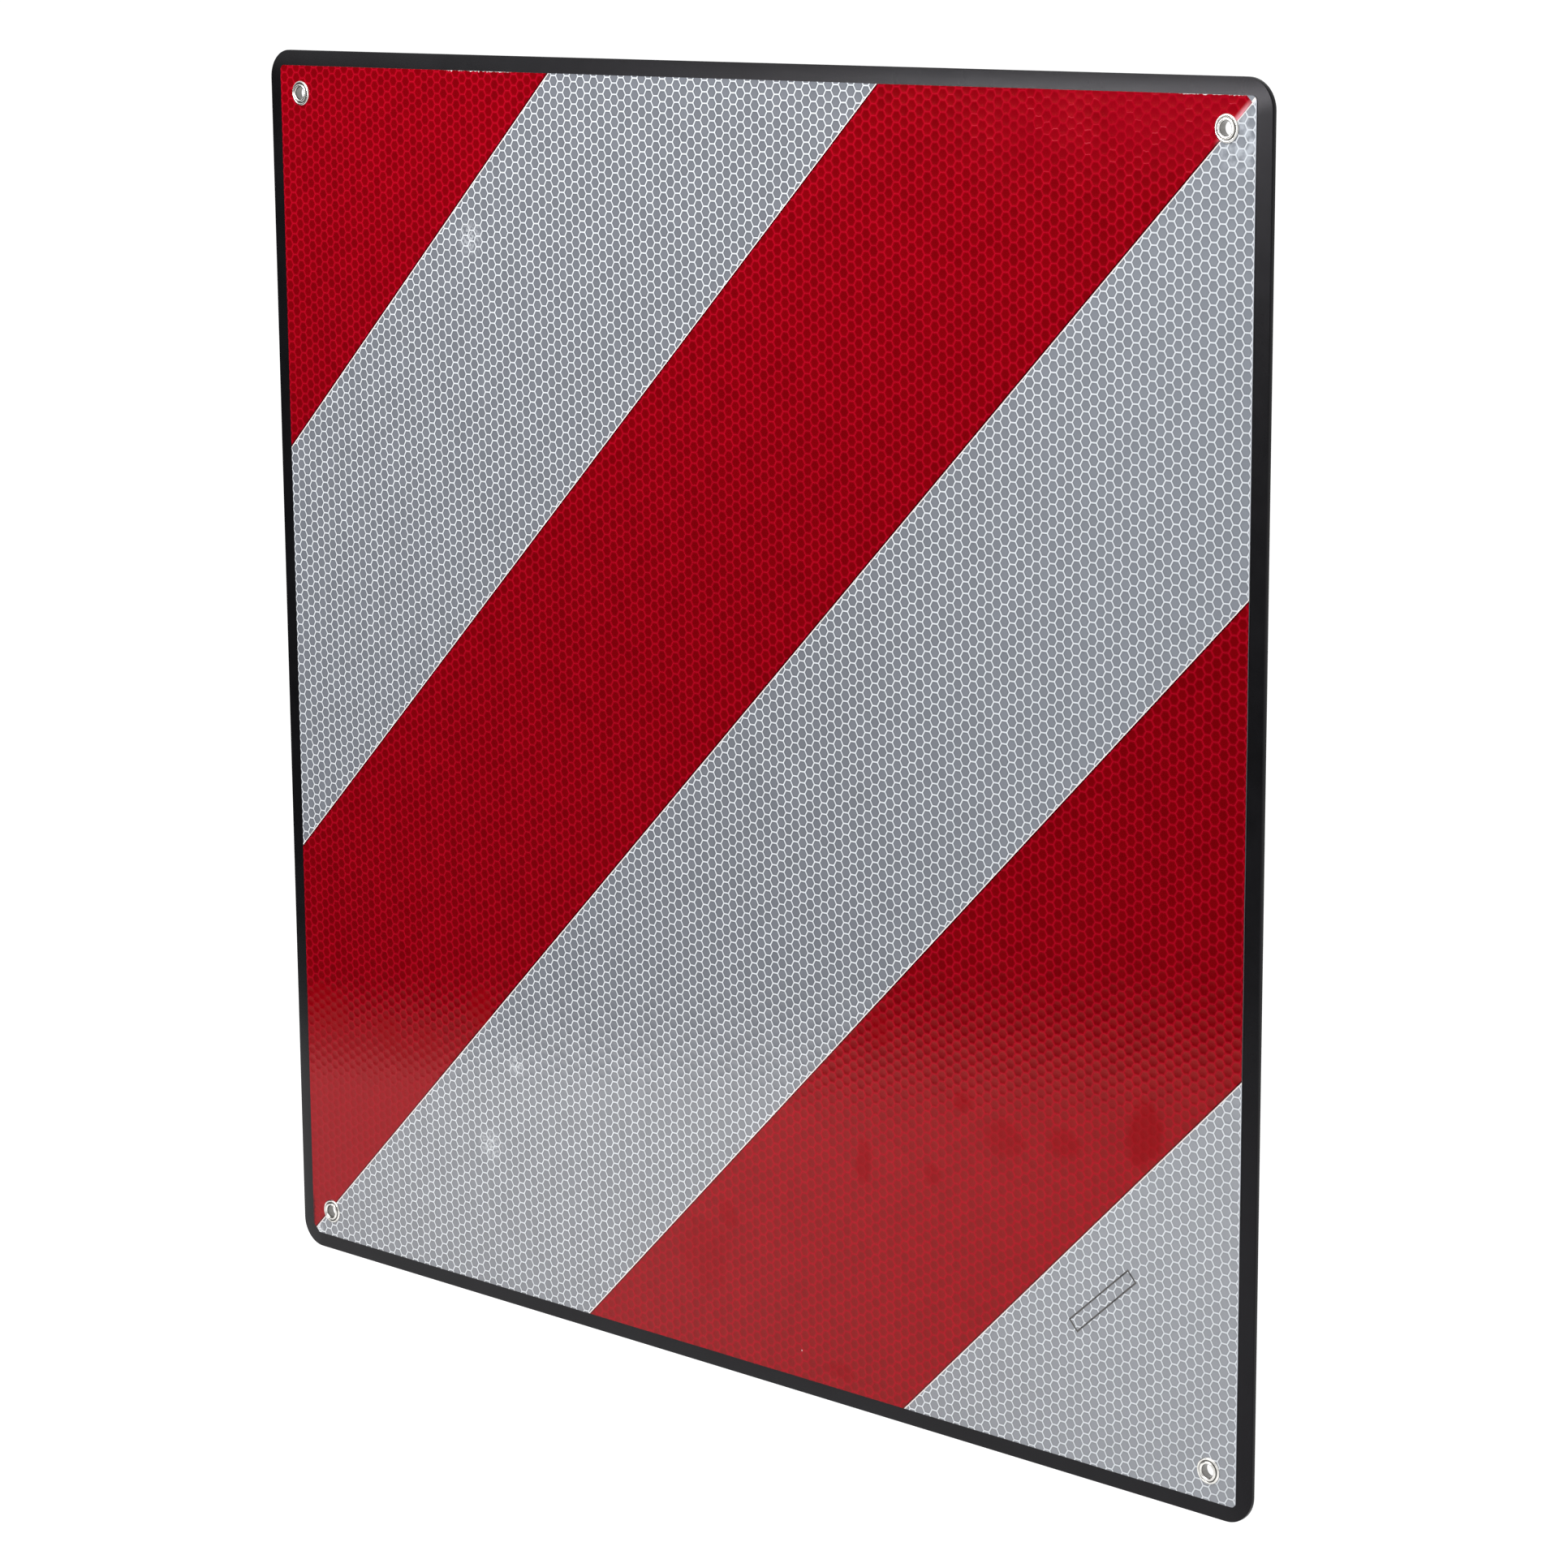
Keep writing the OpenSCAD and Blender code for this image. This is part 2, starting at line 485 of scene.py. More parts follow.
# Tiny bright dust specks
def specks(tree, position, scale, size):
    cells = tree.nodes.new("ShaderNodeTexVoronoi")
    tree.links.new(position, cells.inputs["Vector"])
    cells.inputs["Scale"].default_value = scale
    cells.inputs["Randomness"].default_value = 1.0
    return fade(tree, cells.outputs["Distance"], size, size * 0.6)


whiteLook = {
    "wall": (0.72, 0.745, 0.78, 1),
    "rim": (0.155, 0.163, 0.185, 1),
    "cell": (0.192, 0.204, 0.232, 1),
    # painted light: a pale veil painted over the cells towards the right
    "veil": (0.355, 0.392, 0.440, 1),
    "boundary": (0.92, 0.86, 0.84, 1),
    "scuff": (0.60, 0.64, 0.70, 1),
    "cutEdge": (0.62, 0.65, 0.70, 1),
    "ink": (0.006, 0.006, 0.008, 1),
    "cellGlare": (1.0, 0.97, 0.93, 1),
    "wallGlare": (0.35, 0.35, 0.35, 1),
    "specular": 1.0,
    "cellShades": (0.93, 1.05),
    "paintedRightLight": (20, 240),      # painted light: the cells are painted paler and brighter towards the right
    "rightLightShades": (1.0, 1.08),
    "lightVeilShare": 0.24,
    "cutEdgeFrom": (0.5, 0.3),   # short of the film's right edge
    "lineFade": (0.55, 0.35),
    "scuffPlace": (237, 229),
    "scuffFade": (14, 4),
    "scuffShare": 0.6,
    "frayedPlace": (-243, -243),
    "frayedFade": (6, 3),
    "smearShare": 0.55,
}
redLook = {
    "wall": (0.36, 0.0022, 0.0135, 1),
    "shoulder": (0.260, 0.0008, 0.0055, 1),
    "cell": (0.186, 0.0005, 0.0030, 1),
    "boundary": (0.03, 0.0, 0.001, 1),
    "crushed": (0.33, 0.001, 0.010, 1),
    # painted highlight: pinkish glints on the level walls of crushed cells
    "dash": (0.56, 0.055, 0.08, 1),
    "scuff": (0.72, 0.28, 0.33, 1),
    "chip": (0.85, 0.78, 0.78, 1),
    "dark": (0.07, 0.0, 0.004, 1),
    "farGlare": (1.0, 0.0, 0.0, 1),
    "nearGlare": (1.0, 0.09, 0.08, 1),
    "wallGlare": (0.35, 0.0, 0.0, 1),
    "markTone": (0.25, 0.0004, 0.0035, 1),
    "markGlare": (0.45, 0.0, 0.0, 1),
    "specular": 0.9,
    "cellShades": (0.90, 1.08),
    "paintedTopLight": (20, 230),        # painted light: the cells are painted brighter towards the top
    "topLightShades": (1.0, 1.13),
    # painted reflection: where the cell pattern is painted flatter, low on the left
    "glareFlatAcross": (0, -160),
    "glareFlatUp": (-125, -165),
    "crushedAcross": (90, 150),
    "crushedUp": (205, 234),
    "crushedShift": 1.6,
    "pressedAcross": (120, 200),
    "pressedUp": (214, 240),
    "flatShare": 0.3,
    "dashFrom": 1.85,            # above or below the middle of a cell
    "dashFade": (0.26, 0.10),
    "lineFade": (0.6, 0.35),
    "markShare": 0.75,
    "scuffPlace": (235, 236),
    "scuffFade": (13, 3),
    "scuffLine": (2.0, 0.1),
    "topEdge": (244.65, 244.9),
    "topBite": 1.8,
    "leftChips": (-128.0, 20, 14),     # middle, and where they end and begin beside it
    "rightChips": (226.0, 16, 10),
    "sideEdge": (-244.2, -244.8),
    "sideBite": -4.0,
    "tornUp": (-226, -232),
    "speckScale": 0.028,
    "speckSize": 0.009,
    "nearAcross": (-220, -20),
    "nearUp": (0, -70),
}


# Empty frame of a thin black line near the bottom right corner
frameMake = {
    "x": 183.4,
    "z": -181.4,
    "lean": math.radians(42.2),
    "halfLong": 17.7,
    "halfWide": 2.6,
    "halfLine": 0.3,
}


def frameLine(tree, x, z):
    make = frameMake
    fromX = calc(tree, "SUBTRACT", x, make["x"])
    fromZ = calc(tree, "SUBTRACT", z, make["z"])
    cosine, sine = math.cos(make["lean"]), math.sin(make["lean"])
    along = calc(tree, "MULTIPLY_ADD", fromX, cosine, calc(tree, "MULTIPLY", fromZ, sine))
    across = calc(tree, "MULTIPLY_ADD", fromX, -sine, calc(tree, "MULTIPLY", fromZ, cosine))
    overLong = calc(tree, "SUBTRACT", calc(tree, "ABSOLUTE", along), make["halfLong"])
    overShort = calc(tree, "SUBTRACT", calc(tree, "ABSOLUTE", across), make["halfWide"])
    gap = calc(tree, "ABSOLUTE", calc(tree, "MAXIMUM", overLong, overShort))
    return fade(tree, gap, 1.4 * make["halfLine"], 0.8 * make["halfLine"])


# Pale smears on the white film: place and reach in mm
paleSmears = ((-133, -185, 9), (-134, 180, 9), (-117, -149, 6))


def whiteFilmFinish():
    material, tree, surface = newFinish("whiteHoneycomb")
    position = placeInMm(tree)
    x, _, z = axesOf(tree, position)
    wallGap, dice, _ = cellPattern(tree, x, z, filmLook["whiteRounding"])
    gapShare = calc(tree, "DIVIDE", wallGap, filmLook["pitch"] / 2)
    colour = colourRamp(tree, gapShare, [(0.0, whiteLook["wall"]), (0.09, whiteLook["wall"]),
                                         (0.155, whiteLook["rim"]), (0.25, whiteLook["rim"]),
                                         (0.42, whiteLook["cell"])])
    # painted light: the cells are painted brighter and paler towards the right, where more light
    # falls
    paintedRightLight = fade(tree, x, *whiteLook["paintedRightLight"])
    shade = calc(tree, "MULTIPLY", spread(tree, dice, *whiteLook["cellShades"]),
                 spread(tree, paintedRightLight, *whiteLook["rightLightShades"]))
    colour = blendColour(tree, 1.0, colour, combine(tree, shade, shade, shade), "MULTIPLY")
    lightVeilAmount = calc(tree, "MULTIPLY", paintedRightLight, whiteLook["lightVeilShare"])
    colour = blendColour(tree, lightVeilAmount, colour, whiteLook["veil"])
    cutFrom, cutTo = (filmHigh.x / mm - gap for gap in whiteLook["cutEdgeFrom"])
    colour = blendColour(tree, fade(tree, x, cutFrom, cutTo), colour, whiteLook["cutEdge"])
    nearLine = fade(tree, boundaryGap(tree, x, z), *whiteLook["lineFade"])
    colour = blendColour(tree, nearLine, colour, whiteLook["boundary"])
    colour = blendColour(tree, frameLine(tree, x, z), colour, whiteLook["ink"])
    ruffled = fade(tree, noise(tree, position, 0.28, 2.0, 0.5), 0.36, 0.64)
    fromScuff = distanceTo(tree, x, z, *whiteLook["scuffPlace"])
    scuffed = calc(tree, "MULTIPLY", fade(tree, fromScuff, *whiteLook["scuffFade"]), ruffled)
    scuffed = calc(tree, "MULTIPLY", scuffed, whiteLook["scuffShare"])
    colour = blendColour(tree, scuffed, colour, whiteLook["scuff"])
    for smearX, smearZ, size in paleSmears:
        smear = calc(tree, "MULTIPLY", fade(tree, distanceTo(tree, x, z, smearX, smearZ), size, 0),
                     fade(tree, noise(tree, position, 0.8, 2.0, 0.5), 0.42, 0.56))
        smear = calc(tree, "MULTIPLY", smear, whiteLook["smearShare"])
        colour = blendColour(tree, smear, colour, whiteLook["wall"])
    fromCorner = distanceTo(tree, x, z, *whiteLook["frayedPlace"])
    frayed = calc(tree, "MULTIPLY", fade(tree, fromCorner, *whiteLook["frayedFade"]),
                  fade(tree, noise(tree, position, 1.1, 2.0, 0.5), 0.40, 0.55))
    colour = blendColour(tree, frayed, colour, whiteLook["wall"])
    feed(tree, surface.inputs["Base Color"], colour)
    feed(tree, surface.inputs["Roughness"], filmRoughness(tree, position))
    surface.inputs["Specular IOR Level"].default_value = whiteLook["specular"]
    onWall = fade(tree, gapShare, 0.16, 0.10)
    glare = blendColour(tree, onWall, whiteLook["cellGlare"], whiteLook["wallGlare"])
    feed(tree, surface.inputs["Specular Tint"], glare)
    feed(tree, surface.inputs["Normal"], filmBump(tree, position))
    return material


# Dull marks left on the red film: place, half width and half height in mm, and how dull
dullMarks = (
    (-138, -130, 7, 10, 1.0), (-231, -145, 12, 9, 1.0), (-193, -150, 6, 7, 0.9),
    (-184, -159, 7, 6, 0.9), (-169, -151, 6, 8, 0.7), (-208, -163, 15, 9, 0.5), (78, -100, 5, 6, 0.8),
    (118, -120, 4, 4, 0.9), (137, -130, 8, 6, 0.6), (166, -127, 7, 5, 0.7),
    (202, -117, 7, 12, 1.0), (70, -153, 4, 9, 0.9), (104, -150, 4, 4, 0.7),
    (0, -186, 5, 5, 0.6), (-12, -205, 13, 14, 0.4), (58, -237, 7, 3, 0.6),
)


def marksOn(tree, position, x, z):
    drift = calc(tree, "SUBTRACT", noise(tree, position, 0.12, 3.0, 0.6), 0.5)
    total = None
    for placeX, placeZ, wide, high, strength in dullMarks:
        across = calc(tree, "DIVIDE", calc(tree, "SUBTRACT", x, float(placeX)), float(wide))
        up = calc(tree, "DIVIDE", calc(tree, "SUBTRACT", z, float(placeZ)), float(high))
        far = calc(tree, "SQRT", calc(tree, "MULTIPLY_ADD", across, across,
                                      calc(tree, "MULTIPLY", up, up)))
        far = calc(tree, "MULTIPLY_ADD", drift, 1.8, far)
        mark = calc(tree, "MULTIPLY", fade(tree, far, 1.35, 0.65), strength)
        total = mark if total is None else calc(tree, "MAXIMUM", total, mark)
    return total


def chipsAt(tree, x, middle, end, start):
    return fade(tree, calc(tree, "ABSOLUTE", calc(tree, "SUBTRACT", x, middle)), end, start)


def redFilmFinish():
    material, tree, surface = newFinish("clearRedHoneycomb")
    position = placeInMm(tree)
    x, _, z = axesOf(tree, position)
    # the film is crushed along its top edge, towards the top right eyelet
    crushed = calc(tree, "MULTIPLY", fade(tree, x, *redLook["crushedAcross"]),
                   fade(tree, z, *redLook["crushedUp"]))
    patchy = fade(tree, noise(tree, position, 0.06, 2.0, 0.5), 0.25, 0.5)
    crushed = calc(tree, "MULTIPLY", crushed, patchy)
    shiftX = calc(tree, "SUBTRACT", noise(tree, position, 0.30, 2.0, 0.5), 0.5)
    shiftZ = calc(tree, "SUBTRACT", noise(tree, placeInMm(tree, (1.2, 1, 0.8)), 0.34), 0.5)
    shift = calc(tree, "MULTIPLY", crushed, redLook["crushedShift"])
    cellX = calc(tree, "MULTIPLY_ADD", shift, shiftX, x)
    cellZ = calc(tree, "MULTIPLY_ADD", shift, shiftZ, z)
    wallGap, dice, absZ = cellPattern(tree, cellX, cellZ, filmLook["redRounding"])
    gapShare = calc(tree, "DIVIDE", wallGap, filmLook["pitch"] / 2)
    colour = colourRamp(tree, gapShare, [(0.0, redLook["wall"]), (0.06, redLook["wall"]),
                                         (0.11, redLook["shoulder"]), (0.22, redLook["shoulder"]),
                                         (0.33, redLook["cell"])])
    # painted light: the cells are painted brighter towards the top, where more light falls
    paintedTopLight = fade(tree, z, *redLook["paintedTopLight"])
    shade = calc(tree, "MULTIPLY", spread(tree, dice, *redLook["cellShades"]),
                 spread(tree, paintedTopLight, *redLook["topLightShades"]))
    colour = blendColour(tree, 1.0, colour, combine(tree, shade, shade, shade), "MULTIPLY")
    # painted reflection: low on the left, where the bright floor is mirrored, the cell pattern is
    # painted flatter
    paintedGlareFlattening = calc(tree, "MULTIPLY", fade(tree, x, *redLook["glareFlatAcross"]),
                   fade(tree, z, *redLook["glareFlatUp"]))
    colour = blendColour(tree, calc(tree, "MULTIPLY", paintedGlareFlattening, 0.5), colour, redLook["shoulder"])
    pressed = calc(tree, "MULTIPLY", fade(tree, x, *redLook["pressedAcross"]),
                   fade(tree, z, *redLook["pressedUp"]))
    flattened = calc(tree, "MULTIPLY", calc(tree, "ADD", pressed, crushed), redLook["flatShare"])
    colour = blendColour(tree, flattened, colour, redLook["crushed"])
    # painted highlights: pinkish glints on the level walls of some crushed cells
    levelWall = calc(tree, "MULTIPLY", fade(tree, wallGap, *redLook["dashFade"]),
                     calc(tree, "GREATER_THAN", absZ, redLook["dashFrom"]))
    paintedGlints = calc(tree, "MULTIPLY", levelWall, fade(tree, dice, 0.7, 1.2))
    colour = blendColour(tree, calc(tree, "MULTIPLY", paintedGlints, crushed), colour, redLook["dash"])
    fromLine = boundaryGap(tree, x, z)
    nearLine = fade(tree, fromLine, *redLook["lineFade"])
    colour = blendColour(tree, nearLine, colour, redLook["boundary"])
    marks = marksOn(tree, position, x, z)
    marked = calc(tree, "MULTIPLY", marks, redLook["markShare"])
    colour = blendColour(tree, marked, colour, redLook["markTone"])
    # pale scuff where the boundary meets the top right eyelet
    fromScuff = distanceTo(tree, x, z, *redLook["scuffPlace"])
    scuffed = calc(tree, "MULTIPLY", fade(tree, fromScuff, *redLook["scuffFade"]),
                   fade(tree, fromLine, *redLook["scuffLine"]))
    colour = blendColour(tree, scuffed, colour, redLook["scuff"])
    # chips along the top edge, and a torn bit of edge above the bottom left eyelet
    fine = noise(tree, position, 0.7, 3.0, 0.7)
    bitten = calc(tree, "MULTIPLY_ADD", fine, redLook["topBite"], z)
    topEdge = fade(tree, bitten, *redLook["topEdge"])
    chipped = calc(tree, "ADD", chipsAt(tree, x, *redLook["leftChips"]),
                   chipsAt(tree, x, *redLook["rightChips"]))
    colour = blendColour(tree, calc(tree, "MULTIPLY", topEdge, chipped), colour, redLook["chip"])
    bitten = calc(tree, "MULTIPLY_ADD", fine, redLook["sideBite"], x)
    torn = calc(tree, "MULTIPLY", fade(tree, bitten, *redLook["sideEdge"]),
                fade(tree, z, *redLook["tornUp"]))
    colour = blendColour(tree, torn, colour, redLook["dark"])
    dust = specks(tree, position, redLook["speckScale"], redLook["speckSize"])
    colour = blendColour(tree, dust, colour, redLook["chip"])
    feed(tree, surface.inputs["Base Color"], colour)
    feed(tree, surface.inputs["Roughness"], filmRoughness(tree, position))
    surface.inputs["Specular IOR Level"].default_value = redLook["specular"]
    onWall = fade(tree, gapShare, 0.13, 0.08)
    nearShare = calc(tree, "MULTIPLY", fade(tree, x, *redLook["nearAcross"]),
                     fade(tree, z, *redLook["nearUp"]))
    glare = blendColour(tree, nearShare, redLook["farGlare"], redLook["nearGlare"])
    glare = blendColour(tree, onWall, glare, redLook["wallGlare"])
    glare = blendColour(tree, marks, glare, redLook["markGlare"])
    feed(tree, surface.inputs["Specular Tint"], glare)
    feed(tree, surface.inputs["Normal"], filmBump(tree, position))
    return material


whiteFinish = whiteFilmFinish()
redFinish = redFilmFinish()
filmBlank = makeFilmBlank()
makeWhiteFilm(filmBlank, whiteFinish)
makeRedFilm(filmBlank, "redCornerFilm", 0, "red_corner_field", redFinish)
makeRedFilm(filmBlank, "redMiddleFilm", 2, "red_middle_band", redFinish)
makeRedFilm(filmBlank, "redLowerFilm", 4, "red_lower_band", redFinish)
filmBlank.free()
print("films made")


# Backing plate
plateMake = {
    "cornerRadius": 11 * mm,
    "cornerSegments": 14,
    "edgeRadius": 0.3 * mm,
    "edgeSegments": 3,
    "holeRadius": 2.95 * mm,
    "holeSides": 48,
    "darkTone": (0.003, 0.003, 0.0035, 1),
    "paleTone": (0.006, 0.006, 0.007, 1),
    "roughness": (0.23, 0.28),
    "specular": 0.15,
    "glareTint": (0.97, 0.93, 1.0, 1),
    "grainHeight": 0.012 * mm,
}


def plateFinish():
    material, tree, surface = newFinish("blackSatinPlastic")
    position = placeInMm(tree)
    tone = noise(tree, position, 0.03, 4.0, 0.6)
    colour = colourRamp(tree, tone, [(0.3, plateMake["darkTone"]), (0.7, plateMake["paleTone"])])
    feed(tree, surface.inputs["Base Color"], colour)
    rub = noise(tree, position, 0.12, 3.0, 0.55)
    feed(tree, surface.inputs["Roughness"], spread(tree, rub, *plateMake["roughness"]))
    surface.inputs["Specular IOR Level"].default_value = plateMake["specular"]
    surface.inputs["Specular Tint"].default_value = plateMake["glareTint"]
    grain = noise(tree, position, 3.0, 3.0, 0.6)
    feed(tree, surface.inputs["Normal"], bump(tree, grain, plateMake["grainHeight"], 0.8))
    return material


def makePlate(material):
    bm = bmesh.new()
    size = plateHigh - plateLow
    bmesh.ops.create_cube(bm, size=1)
    bmesh.ops.scale(bm, vec=(size.x, size.z, size.y), verts=bm.verts)
    bmesh.ops.translate(bm, vec=(0, 0, size.y / 2), verts=bm.verts)
    upright = [edge for edge in bm.edges
               if abs(edge.verts[0].co.z - edge.verts[1].co.z) > size.y / 2]
    bmesh.ops.bevel(bm, geom=upright, offset=plateMake["cornerRadius"], affect="EDGES",
                    segments=plateMake["cornerSegments"], profile=0.5, material=-1)
    wide = [face for face in bm.faces if abs(face.normal.z) > 0.9]
    rims = list({edge for face in wide for edge in face.edges})
    bmesh.ops.bevel(bm, geom=rims, offset=plateMake["edgeRadius"], affect="EDGES",
                    segments=plateMake["edgeSegments"], profile=0.5, material=-1)
    wide = [face for face in bm.faces if abs(face.normal.z) > 0.999]
    edgesAt = {}
    for face in wide:
        edgesAt[round(face.calc_center_median().z / size.y)] = list(face.edges)
    bmesh.ops.delete(bm, geom=wide, context="FACES_ONLY")
    for corner in corners:
        loops = {}
        for level in edgesAt:
            place = flatPlace(corner) + Vector((0, 0, level * size.y))
            ring = bmesh.ops.create_circle(bm, segments=plateMake["holeSides"],
                                           radius=plateMake["holeRadius"],
                                           matrix=Matrix.Translation(place))["verts"]
            loops[level] = list({edge for vert in ring for edge in vert.link_edges})
            edgesAt[level] = edgesAt[level] + loops[level]
        bmesh.ops.bridge_loops(bm, edges=loops[0] + loops[1])
    for level, edges in edgesAt.items():
        bmesh.ops.triangle_fill(bm, use_beauty=True, edges=edges, normal=(0, 0, 2 * level - 1))
    bmesh.ops.recalc_face_normals(bm, faces=bm.faces)
    finishPiece(bm, "blackPlate", material, ["backing_plate"])


makePlate(plateFinish())
print("plate made")


# Eyelets and washers
eyeletMake = {
    "boreRadius": 2.5 * mm,
    "wall": 0.35 * mm,
    "lipWidth": 1.24 * mm,
    "flangeRadius": 4.9 * mm,
    "flangeHeight": 0.8 * mm,
    "arcSteps": 10,
    "turnSteps": 72,
    "lipWave": 0.06 * mm,       # the rolled lip isn't quite round
    "phaseStep": 1.7,           # turns the waves from one eyelet to the next
}
washerMake = {
    "metal": 0.3 * mm,
    "innerRadius": 2.95 * mm,
    "beadRadius": 0.55 * mm,
    "outerRadius": 4.9 * mm,
    "beadStart": 150,           # degrees, where the bead's arc leaves the flat land
}
metalSharpAngle = 50
nickelLook = {
    "dull": (0.58, 0.57, 0.54, 1),
    "bright": (0.78, 0.77, 0.74, 1),
    # painted shade inside the drawn barrel
    "barrel": (0.10, 0.095, 0.09, 1),
    # painted shade in the groove between the lip and the bead
    "dirt": (0.06, 0.055, 0.05, 1),
    "barrelFade": (2.62, 2.52),      # mm from the eyelet's axis
    "barrelShare": 0.8,
    "grooveRadius": 3.80,
    "grooveFade": (0.32, 0.08),
    "grooveShare": 0.85,
    "roughness": (0.20, 0.32),
    "dentHeight": 0.03 * mm,
}


# Joins points in the X Z plane into a closed outline and turns it round the Z axis
def latheOutline(points, steps):
    bm = bmesh.new()
    verts = [bm.verts.new((radius, 0, height)) for radius, height in points]
    edges = [bm.edges.new((verts[number - 1], verts[number])) for number in range(len(verts))]
    bmesh.ops.spin(bm, geom=verts + edges, cent=(0, 0, 0), axis=(0, 0, 1),
                   angle=math.radians(360), steps=steps, use_merge=True)
    bmesh.ops.remove_doubles(bm, verts=bm.verts, dist=0.001 * mm)
    bmesh.ops.recalc_face_normals(bm, faces=bm.faces)
    return bm


def ovalArc(middle, base, wide, high, start, end, steps):
    points = []
    for number in range(steps + 1):
        angle = math.radians(start + (end - start) * number / steps)
        points.append((middle + wide * math.cos(angle), base + high * math.sin(angle)))
    return points


def nickelFinish():
    material, tree, surface = newFinish("brightNickel")
    position = placeInMm(tree)
    x, _, z = axesOf(tree, position)
    fromAxis = distanceTo(tree, calc(tree, "ABSOLUTE", x), calc(tree, "ABSOLUTE", z),
                          eyeletPlaces["top_right"].x / mm, eyeletPlaces["top_right"].z / mm)
    tarnish = noise(tree, position, 0.5, 2.0, 0.5)
    colour = colourRamp(tree, tarnish, [(0.35, nickelLook["dull"]), (0.6, nickelLook["bright"])])
    # painted shade: the drawn barrel is painted dark inside, and a line of painted shade lies between
    # the lip and the bead
    barrel = calc(tree, "MULTIPLY", fade(tree, fromAxis, *nickelLook["barrelFade"]),
                  nickelLook["barrelShare"])
    colour = blendColour(tree, barrel, colour, nickelLook["barrel"])
    fromGroove = calc(tree, "ABSOLUTE", calc(tree, "SUBTRACT", fromAxis, nickelLook["grooveRadius"]))
    grooveShade = calc(tree, "MULTIPLY", fade(tree, fromGroove, *nickelLook["grooveFade"]),
                  nickelLook["grooveShare"])
    colour = blendColour(tree, grooveShade, colour, nickelLook["dirt"])
    feed(tree, surface.inputs["Base Color"], colour)
    surface.inputs["Metallic"].default_value = 1.0
    feed(tree, surface.inputs["Roughness"], spread(tree, tarnish, *nickelLook["roughness"]))
    dents = noise(tree, position, 0.8, 1.0, 0.4)
    feed(tree, surface.inputs["Normal"], bump(tree, dents, nickelLook["dentHeight"], 0.6))
    return material


def placeAtCorner(bm, corner):
    bmesh.ops.translate(bm, verts=bm.verts, vec=flatPlace(corner))


def pieceName(kind, corner):
    return kind + "".join(word.title() for word in corner.split("_"))


def makeEyelet(corner, material):
    make = eyeletMake
    front = -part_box("eyelet_" + corner)[0].y
    lipHeight = make["lipWidth"] / 2
    seat = front - lipHeight           # where the lip's arc starts, above the washer's land
    wall, steps = make["wall"], make["arcSteps"]
    flangeHalf = (make["flangeRadius"] - make["boreRadius"]) / 2
    flangeMiddle = make["boreRadius"] + flangeHalf
    lipMiddle = make["boreRadius"] + lipHeight
    outline = ovalArc(flangeMiddle, 0, flangeHalf, make["flangeHeight"], 180, 360, steps)
    outline += ovalArc(flangeMiddle, 0, flangeHalf - wall, make["flangeHeight"] - wall,
                       360, 180, steps)
    outline += ovalArc(lipMiddle, seat, lipHeight - wall, lipHeight - wall, 180, 0, steps)
    outline += ovalArc(lipMiddle, seat, lipHeight, lipHeight, 0, 180, steps)
    bm = latheOutline(outline, make["turnSteps"])
    phase = corners.index(corner) * make["phaseStep"]
    for vert in bm.verts:
        if vert.co.z > seat:
            around = math.atan2(vert.co.y, vert.co.x)
            wave = math.sin(5 * around + phase) + 0.6 * math.sin(11 * around + 2 * phase)
            away = math.hypot(vert.co.x, vert.co.y) - make["boreRadius"] - wall
            if away > 0:
                vert.co.z -= make["lipWave"] * (1 + wave / 1.6) * away / make["lipWidth"]
    placeAtCorner(bm, corner)
    finishPiece(bm, pieceName("eyelet", corner), material,
                ["eyelet_" + corner], metalSharpAngle)


def makeWasher(corner, material):
    make = washerMake
    seat = -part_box("washer_" + corner)[1].y
    beadMiddle = make["outerRadius"] - make["beadRadius"]
    inner = make["beadRadius"] - make["metal"]
    steps = eyeletMake["arcSteps"]
    outline = [(make["innerRadius"], seat), (make["innerRadius"], seat + make["metal"])]
    outline += ovalArc(beadMiddle, seat, make["beadRadius"], make["beadRadius"],
                       make["beadStart"], 0, steps)
    outline += ovalArc(beadMiddle, seat, inner, inner, 0, 180, steps)
    bm = latheOutline(outline, eyeletMake["turnSteps"])
    placeAtCorner(bm, corner)
    finishPiece(bm, pieceName("washer", corner), material,
                ["washer_" + corner], metalSharpAngle)


nickel = nickelFinish()
for corner in corners:
    makeEyelet(corner, nickel)
    makeWasher(corner, nickel)
print("eyelets and washers made")


# Studio, in metres
studio = {
    "floorHeight": plateLow.z - 0.5 * mm,
    "floorSize": 120.0,
    "floorTone": (0.3, 0.3, 0.3, 1),
    "floorGlow": 1.02,
    "cardTone": (0.01, 0.01, 0.01, 1),
    "cardStart": (-0.587, -0.240),
    "cardEnd": (-0.114, -0.600),
    "cardOverrun": 0.5,
    "cardTop": 0.275,
    "stripDepth": 0.12,
    "stripGlow": 0.5,
    "airGlow": 0.20,             # of the air on the plate, beside 1 for the backdrop
}
softLights = {
    "glowPanel": {"place": (-0.70, -1.71, 0.355), "target": (0.2, 0, 0.2),
                  "wide": 1.1, "high": 0.10, "power": 18},
    "topPanel": {"place": (-0.05, -0.6, 0.85), "target": (0, 0, 0.2),
                 "wide": 0.9, "high": 0.5, "power": 10},
    "lowPanel": {"place": (0, -0.3, -0.2), "target": (0, 0, -0.2),
                 "wide": 0.8, "high": 0.06, "power": 0.34},
}
hiddenLight = "lowPanel"         # neither mirrored nor seen


def glowFinish(name, colour, glow):
    material, tree, surface = newFinish(name)
    surface.inputs["Base Color"].default_value = colour
    surface.inputs["Roughness"].default_value = 0.9
    surface.inputs["Specular IOR Level"].default_value = 0.0
    surface.inputs["Emission Color"].default_value = (1, 1, 1, 1)
    surface.inputs["Emission Strength"].default_value = glow
    return material


